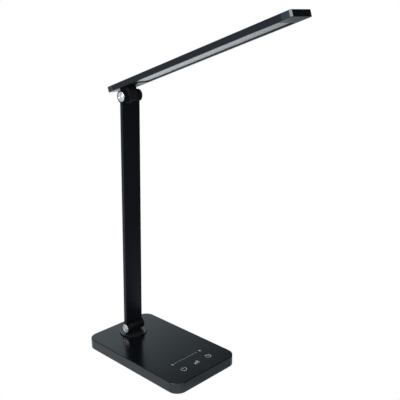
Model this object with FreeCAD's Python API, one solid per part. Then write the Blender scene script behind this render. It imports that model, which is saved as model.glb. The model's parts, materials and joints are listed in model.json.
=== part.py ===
import FreeCAD, Part
import math
import os

from FreeCAD import Vector

# Folding LED desk lamp with touch controls on its base, a flat swing arm and a slim light bar.
# Millimetres.  +Z is up, the front is -Y, and the origin is on the table under the middle of the base.
# The arm is drawn upright with its lower hinge axis at the origin.  The light bar is drawn level, with
# its hinge axis at the origin and its tip towards -Y.  Both are then turned and carried to their places.

# Driving dimensions of the base
BASE_LENGTH = 190.0           # front to back
BASE_WIDTH = 115.4            # side to side
BASE_HEIGHT = 14.8            # moulded body, without the pad under it
BASE_CORNER = 15.0            # corner radius seen from above
BASE_TOP_ROUND = 0.9
BASE_BOTTOM_ROUND = 0.8
SHELL_WALL = 2.2
SHELL_ROOF = 2.4
COVER_THICKNESS = 2.0
PAD_PROUD = 1.0               # how far the rubber pad holds the base off the table
PAD_INSET = 6.0               # pad edge to cover edge
POST_RADIUS = 4.0             # screw posts in the corners
POST_INSET = 11.5             # post centre to the outside of the base
COVER_SCREW_RADIUS = 1.4
COVER_SCREW_HEAD = 2.8        # head radius
COVER_SCREW_TIP_WALL = 3.4    # screw tip to the underside of the roof
BALLAST_SIDE_GAP = 8.5        # steel weight to the inside of the shell
BALLAST_HEADROOM = 2.4        # steel weight to the swivel boss

# Driving dimensions of the touch controls and the electronics
ICON_ROW_INSET = 24.0         # row of touch symbols to the front edge
SLIDER_ROW_GAP = 19.2         # brightness line to the row of symbols
SLIDER_LENGTH = 53.0
ICON_END_INSET = 2.5          # middle of an outer symbol to the end of the brightness line
TOUCH_PAD_RADIUS = 5.5
SLIDER_PAD_WIDTH = 6.0
TOUCH_PAD_THICKNESS = 0.6
BOARD_SIDE_MARGIN = 7.5       # board past the touch pads
BOARD_END_MARGIN = 3.75
BOARD_THICKNESS = 1.6
BOARD_SCREW_RADIUS = 1.0
BOARD_SCREW_HEAD = 1.9        # head radius
BOARD_SCREW_HEAD_HEIGHT = 1.0
BOARD_SCREW_INSET = 3.2
BOARD_SCREW_BITE = 0.8        # screw tip into the roof
BOARD_BOSS_RADIUS = 2.0
COIL_SIZE = 7.0
COIL_HEIGHT = 3.2
CHIP_SIZE = 6.0
CHIP_HEIGHT = 1.2
CAPACITOR_RADIUS = 1.9
CAPACITOR_LENGTH = 7.0
CAPACITOR_GAP = 0.8
CONNECTOR_WIDTH = 8.0
CONNECTOR_DEPTH = 5.0
CONNECTOR_HEIGHT = 3.0
JACK_WIDTH = 9.0
JACK_DEPTH = 11.5
JACK_CLEARANCE = 0.4          # power socket to the cover below and the boss above
JACK_NOSE_RADIUS = 3.6
JACK_BORE_RADIUS = 2.9        # takes a plug 5.5 across
JACK_BORE_DEPTH = 9.0
JACK_PIN_RADIUS = 1.0         # takes a plug with a 2.1 hole
JACK_PIN_SETBACK = 1.0        # pin tip to the mouth of the socket
LEAD_RADIUS = 0.9
LEAD_TURN_ROOM = 7.0          # lead's turns past the ends of the weight

# Driving dimensions of the swivel
PIVOT_INSET = 36.1            # swivel axis and lower hinge to the rear edge
DISC_RADIUS = 20.0
DISC_PROUD = 1.4
DISC_RECESS = 1.0
DISC_GAP = 0.4
DISC_ROUND = 0.7
SWIVEL_BOSS_RIM = 2.0         # boss past the disc
SWIVEL_BOSS_DEPTH = 2.0
STEM_RADIUS = 6.0
STEM_END = 0.9                # stem past the nut
STEM_FLOOR_GAP = 2.1          # stem to the cover
SLIP_WASHER_WIDTH = 4.0       # eye to rim
SLIP_WASHER_THICKNESS = 0.8
SPRING_WASHER_WIDTH = 3.4
SPRING_WASHER_THICKNESS = 0.5
SPRING_WASHER_DISH = 0.5
SWIVEL_NUT_WALL = 3.0         # thread to a flat

# Driving dimensions of the hinges, alike at both ends of the arm
KNUCKLE_RADIUS = 8.2
CHEEK_WIDTH = 7.25            # each outer knuckle
FRICTION_WASHER_THICKNESS = 0.4
FRICTION_WASHER_RIM = 0.6     # washer inside the knuckle's outline
BOLT_RADIUS = 3.0
BOLT_HEAD_HEIGHT = 3.0
BOLT_KEY_FLATS = 4.0
BOLT_KEY_DEPTH = 1.6
CAP_RIM = 1.55                # black ring round the bright cap
CAP_LEDGE = 1.9               # seat of the cap round the bolt head
CAP_THICKNESS = 1.2
CAP_DOME = 0.35
CAP_BEVEL = 0.25
BARREL_EDGE_ROUND = 0.4
KNUCKLE_EDGE_ROUND = 0.5      # rims of a middle knuckle and its post
BARREL_OVERHANG = 0.1         # barrel past the side of the arm
BARREL_DISC_GAP = 1.0         # lower barrel to the swivel disc
ROOT_GAP = 0.6                # middle knuckle to the fork's bridge
BRIDGE_THICKNESS = 1.6
TONGUE_DEPTH = 16.0           # fork tongue inside the arm tube
FORK_SCREW_RADIUS = 1.1
FORK_SCREW_HEAD = 2.0         # head radius
FORK_SCREW_TIP_GAP = 1.7      # screw tip to the front wall of the tube
FORK_SCREW_SPREAD = 18.0      # between the two screws of a fork

# Driving dimensions of the arm
ARM_LENGTH = 339.8            # hinge axis to hinge axis
ARM_WIDTH = 30.2
ARM_THICKNESS = 5.6
ARM_CORNER = 1.0
ARM_INNER_CORNER = 0.25
ARM_WALL = 1.0
ARM_LEAN = 1.73               # degrees forward of upright, as posed
WIRE_RADIUS = 0.8
WIRE_ROOM = 0.6               # free space round a pair of wires
WIRE_END_GAP = 0.5            # wire end to a hinge bolt

# Driving dimensions of the light bar
HEAD_TIP = 291.6              # hinge axis to the tip
HEAD_TAIL = 21.3              # hinge axis to the tail end
HEAD_WIDTH = 35.8
HEAD_THICKNESS = 7.6
HEAD_CLEAR = 2.55             # upper barrel to the underside of the bar
HEAD_TILT = 18.2              # degrees, tip above level, as posed
HEAD_WALL = 1.2
HEAD_ROOF = 1.4
HEAD_ROUND = 0.5
END_CORNER = 2.8              # corner radius of both ends seen from above
TIP_CAP_LENGTH = 12.6
TAIL_CAP_LENGTH = 11.3
CAP_TONGUE = 2.6              # end cap inside the housing
BEZEL_THICKNESS = 1.8
BEZEL_LIP = 3.6               # window to the side of the bar
WINDOW_START = 25.1           # hinge axis to the near end of the window
WINDOW_CORNER = 2.5
WINDOW_TO_TIP_CAP = 8.0
DIFFUSER_OVERLAP = 2.2
LED_TO_DIFFUSER = 1.1
LED_BOARD_EDGE = 2.25         # board inside the window's outline
LED_BOARD_THICKNESS = 1.0
LED_LENGTH = 3.5
LED_WIDTH = 2.8
LED_HEIGHT = 0.7
LED_PITCH = 12.0
LED_ROWS_APART = 10.0
LED_END_MARGIN = 6.0
HINGE_PLATE_EDGE = 1.7        # hinge plate to the inside of the housing
HINGE_PLATE_THICKNESS = 2.2
HINGE_PLATE_TO_WINDOW = 4.7
BRACKET_SCREW_RADIUS = 1.2
BRACKET_SCREW_HEAD = 2.2      # head radius
BRACKET_SCREW_TIP_WALL = 0.9  # screw tip to the underside of the roof
BRACKET_SCREW_INSET = 3.2
BRACKET_BOSS_RADIUS = 2.5
HEAD_WIRE_RADIUS = 0.5
HEAD_WIRE_BEND = 1.5

# Clearances
RUN_GAP = 0.05                # between a shaft and its bearing, and beside sliding faces
FIT_GAP = 0.2                 # between pieces pushed together by hand
SCREW_GAP = 0.05              # round a screw in its own hole
REACH = 1.0                   # how far a cutting tool runs past the face it cuts

# Directions
X_AXIS = Vector(1, 0, 0)
Y_AXIS = Vector(0, 1, 0)
Z_AXIS = Vector(0, 0, 1)
ORIGIN = Vector(0, 0, 0)

# Heights and places inside the base
REAR = BASE_LENGTH / 2
SHELL_BOTTOM = PAD_PROUD
BASE_TOP = PAD_PROUD + BASE_HEIGHT
ROOF_UNDER = BASE_TOP - SHELL_ROOF
COVER_TOP = SHELL_BOTTOM + COVER_THICKNESS
COVER_EDGE = SHELL_WALL + FIT_GAP
COVER_SCREW_LENGTH = ROOF_UNDER - COVER_SCREW_TIP_WALL - SHELL_BOTTOM
BOARD_TOP = ROOF_UNDER - TOUCH_PAD_THICKNESS
BOARD_UNDER = BOARD_TOP - BOARD_THICKNESS
ICON_Y = -REAR + ICON_ROW_INSET
ICON_SPACING = SLIDER_LENGTH / 2 - ICON_END_INSET
SLIDER_Y = ICON_Y + SLIDER_ROW_GAP
BOARD_FRONT = ICON_Y - TOUCH_PAD_RADIUS - BOARD_END_MARGIN
BOARD_BACK = SLIDER_Y + SLIDER_PAD_WIDTH / 2 + BOARD_END_MARGIN
BOARD_MIDDLE = (BOARD_FRONT + BOARD_BACK) / 2
BOARD_HALF = ICON_SPACING + TOUCH_PAD_RADIUS + BOARD_SIDE_MARGIN

# Heights of the swivel
PIVOT_Y = REAR - PIVOT_INSET
DISC_TOP = BASE_TOP + DISC_PROUD
PIVOT_Z = DISC_TOP + BARREL_DISC_GAP + KNUCKLE_RADIUS
SWIVEL_SEAT = ROOF_UNDER - SWIVEL_BOSS_DEPTH
SLIP_WASHER_UNDER = SWIVEL_SEAT - RUN_GAP - SLIP_WASHER_THICKNESS
SWIVEL_NUT_TOP = SLIP_WASHER_UNDER - SPRING_WASHER_THICKNESS - SPRING_WASHER_DISH
STEM_BOTTOM = COVER_TOP + STEM_FLOOR_GAP
SWIVEL_NUT_UNDER = STEM_BOTTOM + STEM_END
SWIVEL_NUT_FLATS = 2 * (STEM_RADIUS + SWIVEL_NUT_WALL)
SWIVEL_NUT_REACH = SWIVEL_NUT_FLATS / math.sqrt(3)
JACK_Z = (COVER_TOP + SWIVEL_SEAT) / 2
JACK_HALF_HEIGHT = (SWIVEL_SEAT - COVER_TOP) / 2 - JACK_CLEARANCE
JACK_BACK = REAR - SHELL_WALL - JACK_DEPTH
BALLAST_HALF = BASE_WIDTH / 2 - SHELL_WALL - BALLAST_SIDE_GAP
BALLAST_FRONT = BOARD_BACK + 2 * FIT_GAP
BALLAST_BACK = PIVOT_Y - SWIVEL_NUT_REACH - 2 * FIT_GAP

# Places along the hinge barrels
BARREL_END = ARM_WIDTH / 2 + BARREL_OVERHANG
CHEEK_INNER = BARREL_END - CHEEK_WIDTH
MIDDLE_HALF = CHEEK_INNER - FRICTION_WASHER_THICKNESS - RUN_GAP
CAP_RADIUS = KNUCKLE_RADIUS - CAP_RIM
CAP_SEAT = BARREL_END - CAP_THICKNESS
BOLT_HEAD_RADIUS = CAP_RADIUS - CAP_LEDGE
BOLT_SEAT = CAP_SEAT - BOLT_HEAD_HEIGHT - FIT_GAP
BRIDGE_START = KNUCKLE_RADIUS + ROOT_GAP
BRIDGE_END = BRIDGE_START + BRIDGE_THICKNESS
FORK_SCREW_HEIGHT = BRIDGE_END + TONGUE_DEPTH / 2
FORK_SCREW_LENGTH = ARM_THICKNESS - ARM_WALL - FORK_SCREW_TIP_GAP
WIRE_OFFSET = WIRE_RADIUS + FIT_GAP / 2
WIRE_BORE = 2 * WIRE_RADIUS + WIRE_ROOM

# Heights and places along the light bar, measured from the hinge axis towards the tip
HEAD_HALF = HEAD_WIDTH / 2
HEAD_UNDER = KNUCKLE_RADIUS + HEAD_CLEAR
HEAD_TOP = HEAD_UNDER + HEAD_THICKNESS
HEAD_ROOF_UNDER = HEAD_TOP - HEAD_ROOF
HEAD_INNER_HALF = HEAD_HALF - HEAD_WALL
BEZEL_TOP = HEAD_UNDER + BEZEL_THICKNESS
TIP_SEAM = HEAD_TIP - TIP_CAP_LENGTH
TAIL_SEAM = TAIL_CAP_LENGTH - HEAD_TAIL
WINDOW_HALF = HEAD_HALF - BEZEL_LIP
WINDOW_END = TIP_SEAM - WINDOW_TO_TIP_CAP
LED_BOARD_UNDER = HEAD_ROOF_UNDER - LED_BOARD_THICKNESS
LED_UNDER = LED_BOARD_UNDER - LED_HEIGHT
HINGE_PLATE_HALF = HEAD_INNER_HALF - HINGE_PLATE_EDGE
HINGE_PLATE_REAR = TAIL_SEAM + CAP_TONGUE + FIT_GAP
HINGE_PLATE_FRONT = WINDOW_START - HINGE_PLATE_TO_WINDOW
HINGE_PLATE_TOP = HEAD_UNDER + HINGE_PLATE_THICKNESS
BRACKET_SCREW_LENGTH = HEAD_THICKNESS - HEAD_ROOF - BRACKET_SCREW_TIP_WALL
NECK_BORE = 2 * HEAD_WIRE_RADIUS + WIRE_ROOM


# Shape helpers
def block(x0, x1, y0, y1, z0, z1):
    return Part.makeBox(x1 - x0, y1 - y0, z1 - z0, Vector(x0, y0, z0))


def rod(radius, start, end):
    line = end - start
    return Part.makeCylinder(radius, line.Length, start, line)


def upright_rod(radius, x, y, z0, z1):
    return rod(radius, Vector(x, y, z0), Vector(x, y, z1))


def cross_rod(radius, x0, x1):
    """Cylinder along a hinge axis through the origin."""
    return rod(radius, Vector(x0, 0, 0), Vector(x1, 0, 0))


def ring(outer, inner, start, end):
    return rod(outer, start, end).cut(rod(inner, start, end))


def hexagon(flats, start, direction, height):
    """Hexagonal prism of a width across flats, from start along a direction."""
    reach = flats / math.sqrt(3)
    side = Y_AXIS
    other = direction.cross(side)
    corners = []
    for step in range(7):
        angle = math.radians(60 * step)
        corners.append(start + side * (reach * math.cos(angle)) + other * (reach * math.sin(angle)))
    return Part.Face(Part.makePolygon(corners)).extrude(direction * height)


def runs_along(edge, axis):
    """True for a straight edge that is parallel to the axis."""
    if not isinstance(edge.Curve, Part.Line):
        return False
    return abs(abs(edge.tangentAt(edge.FirstParameter).dot(axis)) - 1) < 1e-6


def lies_at(edge, axis, place):
    """True for an edge that lies in the plane at one place along the axis."""
    points = [edge.valueAt(edge.FirstParameter), edge.valueAt(edge.LastParameter), edge.CenterOfMass]
    return all(abs(point.dot(axis) - place) < 1e-6 for point in points)


def rounded(shape, radius, chosen):
    """Fillet the edges that chosen accepts."""
    return shape.makeFillet(radius, [edge for edge in shape.Edges if chosen(edge)])


def rounded_slab(x0, x1, y0, y1, z0, z1, corner):
    """Block with rounded upright edges."""
    return rounded(block(x0, x1, y0, y1, z0, z1), corner, lambda edge: runs_along(edge, Z_AXIS))


def base_slab(inset, z0, z1):
    """Plate with the outline of the base, smaller all round by inset."""
    x, y = BASE_WIDTH / 2 - inset, BASE_LENGTH / 2 - inset
    return rounded_slab(-x, x, -y, y, z0, z1, max(BASE_CORNER - inset, SHELL_WALL))


def countersunk_screw(seat, inward, head_radius, radius, length):
    """Screw whose flat head lies at seat and whose shank runs inward."""
    head = Part.makeCone(head_radius, radius, head_radius - radius, seat, inward)
    return head.fuse(rod(radius, seat, seat + inward * length)).removeSplitter()


def countersunk_hole(seat, inward, head_radius, radius, depth):
    """Cutting tool that leaves SCREW_GAP round a countersunk screw."""
    outside = seat - inward * REACH
    head = Part.makeCone(head_radius + SCREW_GAP, radius + SCREW_GAP, head_radius - radius, seat, inward)
    mouth = rod(head_radius + SCREW_GAP, outside, seat)
    return head.fuse([mouth, rod(radius + SCREW_GAP, outside, seat + inward * depth)])


def largest_bends(points):
    """Bend radius at each corner that takes up 0.45 of the shorter of its two runs."""
    bends = []
    for before, corner, after in zip(points, points[1:], points[2:]):
        into, out = corner - before, after - corner
        bends.append(0.45 * min(into.Length, out.Length) / math.tan(into.getAngle(out) / 2))
    return bends


def lead(points, radius, bends):
    """Round wire along straight runs that are joined by tangent arcs."""
    edges = []
    start = points[0]
    for before, corner, after, bend in zip(points, points[1:], points[2:], bends):
        into = (corner - before).normalize()
        out = (after - corner).normalize()
        half_turn = into.getAngle(out) / 2
        trim = bend * math.tan(half_turn)
        first = corner - into * trim
        last = corner + out * trim
        middle = corner + (out - into).normalize() * (bend / math.cos(half_turn) - bend)
        edges.append(Part.LineSegment(start, first).toShape())
        edges.append(Part.Arc(first, middle, last).toShape())
        start = last
    edges.append(Part.LineSegment(start, points[-1]).toShape())
    section = Part.Wire(Part.makeCircle(radius, points[0], points[1] - points[0]))
    return Part.Wire(edges).makePipeShell([section], True, False)


# Placement of what moves
def stay(shape):
    return shape


def place_arm(shape):
    """Carry a piece of the upright arm to the posed arm."""
    posed = shape.copy()
    posed.rotate(ORIGIN, X_AXIS, ARM_LEAN)
    posed.translate(Vector(0, PIVOT_Y, PIVOT_Z))
    return posed


def at_arm_top(shape):
    """Turn a piece of the arm's lower end over, onto its upper end."""
    turned = shape.copy()
    turned.rotate(ORIGIN, Y_AXIS, 180)
    turned.translate(Vector(0, 0, ARM_LENGTH))
    return turned


def place_arm_top(shape):
    return place_arm(at_arm_top(shape))


def arm_top():
    """Middle of the upper hinge axis on the posed arm."""
    lean = math.radians(ARM_LEAN)
    return Vector(0, PIVOT_Y - ARM_LENGTH * math.sin(lean), PIVOT_Z + ARM_LENGTH * math.cos(lean))


def place_head(shape):
    """Carry a piece of the level light bar to the posed bar."""
    posed = shape.copy()
    posed.rotate(ORIGIN, X_AXIS, -HEAD_TILT)
    posed.translate(arm_top())
    return posed


# Base casing
def post_places():
    x, y = BASE_WIDTH / 2 - POST_INSET, BASE_LENGTH / 2 - POST_INSET
    return [(-x, -y), (x, -y), (-x, y), (x, y)]


def board_screw_places():
    x = BOARD_HALF - BOARD_SCREW_INSET
    front, back = BOARD_FRONT + BOARD_SCREW_INSET, BOARD_BACK - BOARD_SCREW_INSET
    return [(-x, front), (x, front), (-x, back), (x, back)]


def base_shell():
    """Roof and walls, with the swivel boss and the posts for the screws."""
    outer = base_slab(0, SHELL_BOTTOM, BASE_TOP)
    outer = rounded(outer, BASE_TOP_ROUND, lambda edge: lies_at(edge, Z_AXIS, BASE_TOP))
    outer = rounded(outer, BASE_BOTTOM_ROUND, lambda edge: lies_at(edge, Z_AXIS, SHELL_BOTTOM))
    shell = outer.cut(base_slab(SHELL_WALL, SHELL_BOTTOM - REACH, ROOF_UNDER))

    added = [upright_rod(DISC_RADIUS + SWIVEL_BOSS_RIM, 0, PIVOT_Y, SWIVEL_SEAT, ROOF_UNDER)]
    recess = upright_rod(DISC_RADIUS + DISC_GAP, 0, PIVOT_Y, BASE_TOP - DISC_RECESS, BASE_TOP + REACH)
    bearing = upright_rod(STEM_RADIUS + RUN_GAP, 0, PIVOT_Y, SWIVEL_SEAT - REACH, BASE_TOP + REACH)
    socket = rod(JACK_NOSE_RADIUS + FIT_GAP, Vector(0, REAR - SHELL_WALL - REACH, JACK_Z),
                 Vector(0, REAR + REACH, JACK_Z))
    removed = [recess, bearing, socket]

    screw_end = SHELL_BOTTOM + COVER_SCREW_LENGTH + FIT_GAP
    for x, y in post_places():
        added.append(upright_rod(POST_RADIUS, x, y, COVER_TOP, ROOF_UNDER))
        removed.append(upright_rod(COVER_SCREW_RADIUS + SCREW_GAP, x, y, COVER_TOP - REACH, screw_end))
    board_screw_end = ROOF_UNDER + BOARD_SCREW_BITE + FIT_GAP
    for x, y in board_screw_places():
        added.append(upright_rod(BOARD_BOSS_RADIUS, x, y, BOARD_TOP, ROOF_UNDER))
        removed.append(upright_rod(BOARD_SCREW_RADIUS + SCREW_GAP, x, y, BOARD_TOP - REACH, board_screw_end))
    return shell.fuse(added).cut(removed).removeSplitter()


def base_cover():
    holes = [countersunk_hole(Vector(x, y, SHELL_BOTTOM), Z_AXIS, COVER_SCREW_HEAD, COVER_SCREW_RADIUS,
                              COVER_THICKNESS + REACH) for x, y in post_places()]
    return base_slab(COVER_EDGE, SHELL_BOTTOM, COVER_TOP).cut(holes)


def cover_screws():
    return [countersunk_screw(Vector(x, y, SHELL_BOTTOM), Z_AXIS, COVER_SCREW_HEAD, COVER_SCREW_RADIUS,
                              COVER_SCREW_LENGTH) for x, y in post_places()]


def non_slip_pad():
    return base_slab(COVER_EDGE + PAD_INSET, 0, PAD_PROUD)


def ballast_plate():
    """Steel weight on the cover, between the control board and the swivel nut."""
    top = SWIVEL_SEAT - BALLAST_HEADROOM
    return block(-BALLAST_HALF, BALLAST_HALF, BALLAST_FRONT, BALLAST_BACK, COVER_TOP, top)


# Electronics in the base
def touch_electrodes():
    """Three round pads and a long one, pressed between the board and the roof."""
    pads = [upright_rod(TOUCH_PAD_RADIUS, column * ICON_SPACING, ICON_Y, BOARD_TOP, ROOF_UNDER)
            for column in (-1, 0, 1)]
    half_length, half_width = SLIDER_LENGTH / 2, SLIDER_PAD_WIDTH / 2
    slider = block(-half_length, half_length, SLIDER_Y - half_width, SLIDER_Y + half_width,
                   BOARD_TOP, ROOF_UNDER)
    return pads + [slider]


def control_board():
    plate = block(-BOARD_HALF, BOARD_HALF, BOARD_FRONT, BOARD_BACK, BOARD_UNDER, BOARD_TOP)
    holes = [upright_rod(BOARD_SCREW_RADIUS + SCREW_GAP, x, y, BOARD_UNDER - REACH, BOARD_TOP + REACH)
             for x, y in board_screw_places()]
    return plate.cut(holes)


def board_screws():
    screws = []
    for x, y in board_screw_places():
        head = upright_rod(BOARD_SCREW_HEAD, x, y, BOARD_UNDER - BOARD_SCREW_HEAD_HEIGHT, BOARD_UNDER)
        shank = upright_rod(BOARD_SCREW_RADIUS, x, y, BOARD_UNDER, ROOF_UNDER + BOARD_SCREW_BITE)
        screws.append(head.fuse(shank).removeSplitter())
    return screws


def under_board(x, width, depth, height):
    """Block soldered under the middle of the board."""
    return block(x - width / 2, x + width / 2, BOARD_MIDDLE - depth / 2, BOARD_MIDDLE + depth / 2,
                 BOARD_UNDER - height, BOARD_UNDER)


def board_components():
    """Coil, two chips, two capacitors and the connector, in a row across the board."""
    step = BOARD_HALF / 3
    pieces = [under_board(-2 * step, COIL_SIZE, COIL_SIZE, COIL_HEIGHT)]
    for place in (-1, 0):
        pieces.append(under_board(place * step, CHIP_SIZE, CHIP_SIZE, CHIP_HEIGHT))
    height = BOARD_UNDER - CAPACITOR_RADIUS
    half = CAPACITOR_LENGTH / 2
    for side in (-1, 1):
        x = step + side * (CAPACITOR_RADIUS + CAPACITOR_GAP / 2)
        pieces.append(rod(CAPACITOR_RADIUS, Vector(x, BOARD_MIDDLE - half, height),
                          Vector(x, BOARD_MIDDLE + half, height)))
    pieces.append(under_board(2 * step, CONNECTOR_WIDTH, CONNECTOR_DEPTH, CONNECTOR_HEIGHT))
    return pieces


def dc_jack():
    """Power socket behind the rear wall, its round nose flush with the outside."""
    inner = REAR - SHELL_WALL
    half = JACK_WIDTH / 2
    housing = block(-half, half, JACK_BACK, inner, JACK_Z - JACK_HALF_HEIGHT, JACK_Z + JACK_HALF_HEIGHT)
    nose = rod(JACK_NOSE_RADIUS, Vector(0, inner - REACH, JACK_Z), Vector(0, REAR, JACK_Z))
    bore = rod(JACK_BORE_RADIUS, Vector(0, REAR - JACK_BORE_DEPTH, JACK_Z), Vector(0, REAR + REACH, JACK_Z))
    return housing.fuse(nose).cut(bore).removeSplitter()


def dc_jack_pin():
    return rod(JACK_PIN_RADIUS, Vector(0, REAR - JACK_BORE_DEPTH, JACK_Z),
               Vector(0, REAR - JACK_PIN_SETBACK, JACK_Z))


def supply_lead():
    """From the back of the power socket, round the weight, to the board's connector."""
    floor = COVER_TOP + LEAD_RADIUS + FIT_GAP
    side = (BALLAST_HALF + BASE_WIDTH / 2 - SHELL_WALL) / 2
    between = (JACK_BACK + PIVOT_Y + SWIVEL_NUT_REACH) / 2
    connector_x = 2 * BOARD_HALF / 3
    points = [
        Vector(0, JACK_BACK, JACK_Z),
        Vector(0, between, JACK_Z),
        Vector(side / 2, between, floor),
        Vector(side, BALLAST_BACK + LEAD_TURN_ROOM, floor),
        Vector(side, BALLAST_FRONT - LEAD_TURN_ROOM, floor),
        Vector(connector_x, BOARD_MIDDLE, floor),
        Vector(connector_x, BOARD_MIDDLE, BOARD_UNDER - CONNECTOR_HEIGHT),
    ]
    return lead(points, LEAD_RADIUS, largest_bends(points))


# Middle knuckles
def middle_knuckle(root):
    """Knuckle about an axis at the origin, and a post of its width and depth that runs up or down to root."""
    knuckle = cross_rod(KNUCKLE_RADIUS, -MIDDLE_HALF, MIDDLE_HALF)
    post = block(-MIDDLE_HALF, MIDDLE_HALF, -KNUCKLE_RADIUS, KNUCKLE_RADIUS, min(0, root), max(0, root))
    joined = knuckle.fuse(post).removeSplitter()

    def is_rim(edge):
        at_side = lies_at(edge, X_AXIS, -MIDDLE_HALF) or lies_at(edge, X_AXIS, MIDDLE_HALF)
        return at_side and not lies_at(edge, Z_AXIS, root)

    reach = MIDDLE_HALF + REACH
    return rounded(joined, KNUCKLE_EDGE_ROUND, is_rim).cut(cross_rod(BOLT_RADIUS + RUN_GAP, -reach, reach))


# Swivel
def swivel_disc():
    bottom = BASE_TOP - DISC_RECESS + RUN_GAP
    disc = upright_rod(DISC_RADIUS, 0, PIVOT_Y, bottom, DISC_TOP)
    disc = rounded(disc, DISC_ROUND, lambda edge: lies_at(edge, Z_AXIS, DISC_TOP))
    return disc.cut(upright_rod(STEM_RADIUS + RUN_GAP, 0, PIVOT_Y, bottom - REACH, DISC_TOP + REACH))


def pedestal():
    """Post with the lower hinge's middle knuckle on top and a hollow stem through the base."""
    knuckle = middle_knuckle(DISC_TOP - PIVOT_Z)
    knuckle.translate(Vector(0, PIVOT_Y, PIVOT_Z))
    stem = upright_rod(STEM_RADIUS, 0, PIVOT_Y, STEM_BOTTOM, DISC_TOP + REACH)
    bore = upright_rod(WIRE_BORE, 0, PIVOT_Y, STEM_BOTTOM - REACH, PIVOT_Z)
    return knuckle.fuse(stem).cut(bore).removeSplitter()


def slip_washer():
    return ring(STEM_RADIUS + SLIP_WASHER_WIDTH, STEM_RADIUS + RUN_GAP,
                Vector(0, PIVOT_Y, SLIP_WASHER_UNDER), Vector(0, PIVOT_Y, SWIVEL_SEAT - RUN_GAP))


def spring_washer():
    """Dished washer, its rim against the slip washer and its eye against the nut."""
    inner, outer = STEM_RADIUS + RUN_GAP, STEM_RADIUS + SPRING_WASHER_WIDTH
    low, high = SWIVEL_NUT_TOP, SLIP_WASHER_UNDER
    corners = [
        Vector(inner, PIVOT_Y, low),
        Vector(inner, PIVOT_Y, low + SPRING_WASHER_THICKNESS),
        Vector(outer, PIVOT_Y, high),
        Vector(outer, PIVOT_Y, high - SPRING_WASHER_THICKNESS),
        Vector(inner, PIVOT_Y, low),
    ]
    return Part.Face(Part.makePolygon(corners)).revolve(Vector(0, PIVOT_Y, 0), Z_AXIS, 360)


def swivel_nut():
    under, top = SWIVEL_NUT_UNDER, SWIVEL_NUT_TOP
    nut = hexagon(SWIVEL_NUT_FLATS, Vector(0, PIVOT_Y, under), Z_AXIS, top - under)
    return nut.cut(upright_rod(STEM_RADIUS + RUN_GAP, 0, PIVOT_Y, under - REACH, top + REACH))


def swivel_wires():
    """Two cores up the hollow stem, to just under the hinge bolt."""
    top = PIVOT_Z - BOLT_RADIUS - WIRE_END_GAP
    return [upright_rod(WIRE_RADIUS, side * WIRE_OFFSET, PIVOT_Y, STEM_BOTTOM, top) for side in (-1, 1)]


# Arm
def arm_bar(inset, z0, z1):
    """Flat bar with the arm's section, smaller all round by inset."""
    x, y = ARM_WIDTH / 2 - inset, ARM_THICKNESS / 2 - inset
    return rounded_slab(-x, x, -y, y, z0, z1, max(ARM_CORNER - inset, ARM_INNER_CORNER))


def fork_screw_seats():
    return [Vector(side * FORK_SCREW_SPREAD / 2, ARM_THICKNESS / 2, FORK_SCREW_HEIGHT) for side in (-1, 1)]


def fork_screw_holes(depth):
    return [countersunk_hole(seat, -Y_AXIS, FORK_SCREW_HEAD, FORK_SCREW_RADIUS, depth)
            for seat in fork_screw_seats()]


def cheek(side):
    """Outer knuckle on one side, with its outer edge rounded."""
    end = side * BARREL_END
    knuckle = cross_rod(KNUCKLE_RADIUS, side * CHEEK_INNER, end)
    return rounded(knuckle, BARREL_EDGE_ROUND, lambda edge: lies_at(edge, X_AXIS, end))


def hinge_fork():
    """End fitting: two outer knuckles, a bridge across the arm and a tongue inside the tube."""
    root = arm_bar(0, 0, BRIDGE_END)
    gap = block(-CHEEK_INNER, CHEEK_INNER, -ARM_THICKNESS, ARM_THICKNESS, -REACH, BRIDGE_START)
    tongue_end = BRIDGE_END + TONGUE_DEPTH
    tongue = arm_bar(ARM_WALL + FIT_GAP / 2, BRIDGE_START, tongue_end)
    half_width, half_depth = 2 * WIRE_RADIUS + WIRE_ROOM, WIRE_RADIUS + WIRE_ROOM / 2
    slot = block(-half_width, half_width, -half_depth, half_depth, BRIDGE_START - REACH, tongue_end + REACH)
    holes = [slot, cross_rod(BOLT_RADIUS + RUN_GAP, -BARREL_END, BARREL_END)]
    for side in (-1, 1):
        holes.append(cross_rod(CAP_RADIUS + RUN_GAP, side * CAP_SEAT, side * (BARREL_END + REACH)))
        holes.append(cross_rod(BOLT_HEAD_RADIUS + FIT_GAP, side * BOLT_SEAT, side * BARREL_END))
    holes += fork_screw_holes(FORK_SCREW_LENGTH + SCREW_GAP)
    return root.cut(gap).fuse([cheek(-1), cheek(1), tongue]).cut(holes).removeSplitter()


def arm_tube():
    top = ARM_LENGTH - BRIDGE_END
    tube = arm_bar(0, BRIDGE_END, top).cut(arm_bar(ARM_WALL, BRIDGE_END - REACH, top + REACH))
    holes = fork_screw_holes(FORK_SCREW_LENGTH)
    return tube.cut(holes + [at_arm_top(hole) for hole in holes])


def fork_screws():
    lower = [countersunk_screw(seat, -Y_AXIS, FORK_SCREW_HEAD, FORK_SCREW_RADIUS, FORK_SCREW_LENGTH)
             for seat in fork_screw_seats()]
    return lower + [at_arm_top(screw) for screw in lower]


def arm_wires():
    """Two cores through the tube and the bridges of both forks."""
    start, end = BRIDGE_START + FIT_GAP, ARM_LENGTH - BRIDGE_START - FIT_GAP
    return [upright_rod(WIRE_RADIUS, side * WIRE_OFFSET, 0, start, end) for side in (-1, 1)]


def hinge_bolt():
    """Bolt with a round head and a hexagonal key socket."""
    head_end = -BOLT_SEAT - BOLT_HEAD_HEIGHT
    head = cross_rod(BOLT_HEAD_RADIUS, head_end, -BOLT_SEAT)
    shank = cross_rod(BOLT_RADIUS, head_end, BOLT_SEAT + BOLT_HEAD_HEIGHT)
    key = hexagon(BOLT_KEY_FLATS, Vector(head_end, 0, 0), X_AXIS, BOLT_KEY_DEPTH)
    return head.fuse(shank).cut(key).removeSplitter()


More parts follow.
